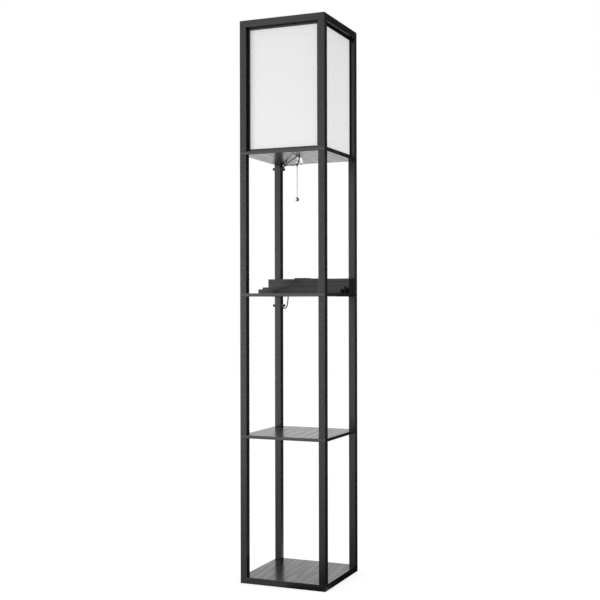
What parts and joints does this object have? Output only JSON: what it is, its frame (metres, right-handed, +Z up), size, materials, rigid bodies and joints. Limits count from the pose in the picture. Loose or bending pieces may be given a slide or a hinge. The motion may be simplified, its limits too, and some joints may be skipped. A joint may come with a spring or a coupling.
{
  "type": "floor lamp",
  "caption": "Tall square floor lamp with open display shelves, a charging dock on its middle shelf, a linen-panelled light box on top and a pull-chain switch.",
  "frame": {"origin": "centre of the base board's underside, on which the lamp stands", "axes": "+Z up, -Y towards the front, +X to the right as seen from the front"},
  "size_m": [0.2675, 0.2939, 1.6],
  "materials": {
    "black_ash": "black ash-grain foil, satin",
    "linen": "white linen weave",
    "steel": "zinc-plated",
    "wood_pin": "raw beech",
    "black_plastic": "fine satin",
    "grey_plastic": "fine satin",
    "nickel": "polished nickel",
    "white_paint": "gloss white",
    "brass": "plain",
    "opal_glass": "opal",
    "circuit_board": "solder mask",
    "black_cord": "smooth sheath"
  },
  "bodies": {
    "column": {"base_board": "black_ash", "lower_shelf": "black_ash", "middle_shelf": "black_ash", "upper_shelf": "black_ash", "bottom_post_front_left": "black_ash", "bottom_post_front_right": "black_ash", "bottom_post_rear_left": "black_ash", "bottom_post_rear_right": "black_ash", "middle_post_front_left": "black_ash", "middle_post_front_right": "black_ash", "middle_post_rear_left": "black_ash", "middle_post_rear_right": "black_ash", "upper_post_front_left": "black_ash", "upper_post_front_right": "black_ash", "upper_post_rear_left": "black_ash", "upper_post_rear_right": "black_ash", "shade_post_front_left": "black_ash", "shade_post_front_right": "black_ash", "shade_post_rear_left": "black_ash", "shade_post_rear_right": "black_ash", "top_rails": "black_ash", "shade_frame_front": "black_ash", "shade_frame_right": "black_ash", "shade_frame_rear": "black_ash", "shade_frame_left": "black_ash", "shade_panel_front": "linen", "shade_panel_right": "linen", "shade_panel_rear": "linen", "shade_panel_left": "linen", "base_bolts": "steel", "shelf_studs": "steel", "frame_dowels": "wood_pin", "holder_body": "black_plastic", "holder_nipple": "steel", "socket_shell": "nickel", "centre_contact": "brass", "bulb_cap": "nickel", "bulb_globe": "opal_glass", "switch_bell": "white_paint", "switch_body": "black_plastic", "dock_walls": "black_ash", "dock_lid": "black_ash", "lip_front": "black_ash", "lip_rear": "black_ash", "module_box": "black_plastic", "outlet_face": "black_plastic", "usb_face": "grey_plastic", "converter_board": "circuit_board", "cord_clips": "black_plastic", "link_lead": "black_cord", "lead_reliefs": "black_plastic", "mains_lead": "black_cord", "mains_hank": "black_cord", "mains_tail": "black_cord", "hank_tie": "black_plastic", "mains_plug": "black_plastic", "plug_blades": "steel"},
    "pull_stem": {"pull_stem": "steel"},
    "chain_eye": {"chain_eye": "nickel"},
    "pull_chain": {"pull_chain": "nickel"}
  },
  "joints": [
    {"name": "pull_slide", "type": "slide", "parent": "column", "child": "pull_stem", "axis": [0, 0, -1], "range_m": [0, 0.006], "stiffness_N_per_m": 400, "springref_m": -0.002},
    {"name": "chain_swing_x", "type": "hinge", "parent": "pull_stem", "child": "chain_eye", "pos_m": [-0.008, 0, 1.1924], "axis": [1, 0, 0], "range_deg": [-30, 30]},
    {"name": "chain_swing_y", "type": "hinge", "parent": "chain_eye", "child": "pull_chain", "pos_m": [-0.008, 0, 1.1924], "axis": [0, 1, 0], "range_deg": [-30, 30]}
  ]
}
